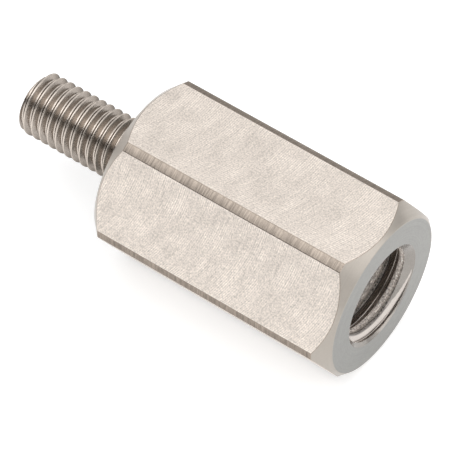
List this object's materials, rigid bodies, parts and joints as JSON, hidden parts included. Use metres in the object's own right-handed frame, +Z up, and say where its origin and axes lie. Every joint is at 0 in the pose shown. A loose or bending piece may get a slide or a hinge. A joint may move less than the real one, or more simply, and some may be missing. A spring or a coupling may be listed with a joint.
{
  "type": "hex adapter",
  "caption": "Hexagonal steel thread adapter with a male threaded stud at one end and a tapped blind socket with a countersunk mouth at the other.",
  "frame": {"origin": "middle of the part's length, under its axis, on the surface that the lowest flat rests on", "axes": "+X along the axis from the stud towards the socket's mouth, +Z up and normal to the upper flat"},
  "size_m": [0.0302, 0.0142, 0.0127],
  "materials": {
    "steel": "milled flats and turned ends, fine satin"
  },
  "bodies": {
    "root": {"hex_adapter": "steel"}
  },
  "joints": []
}
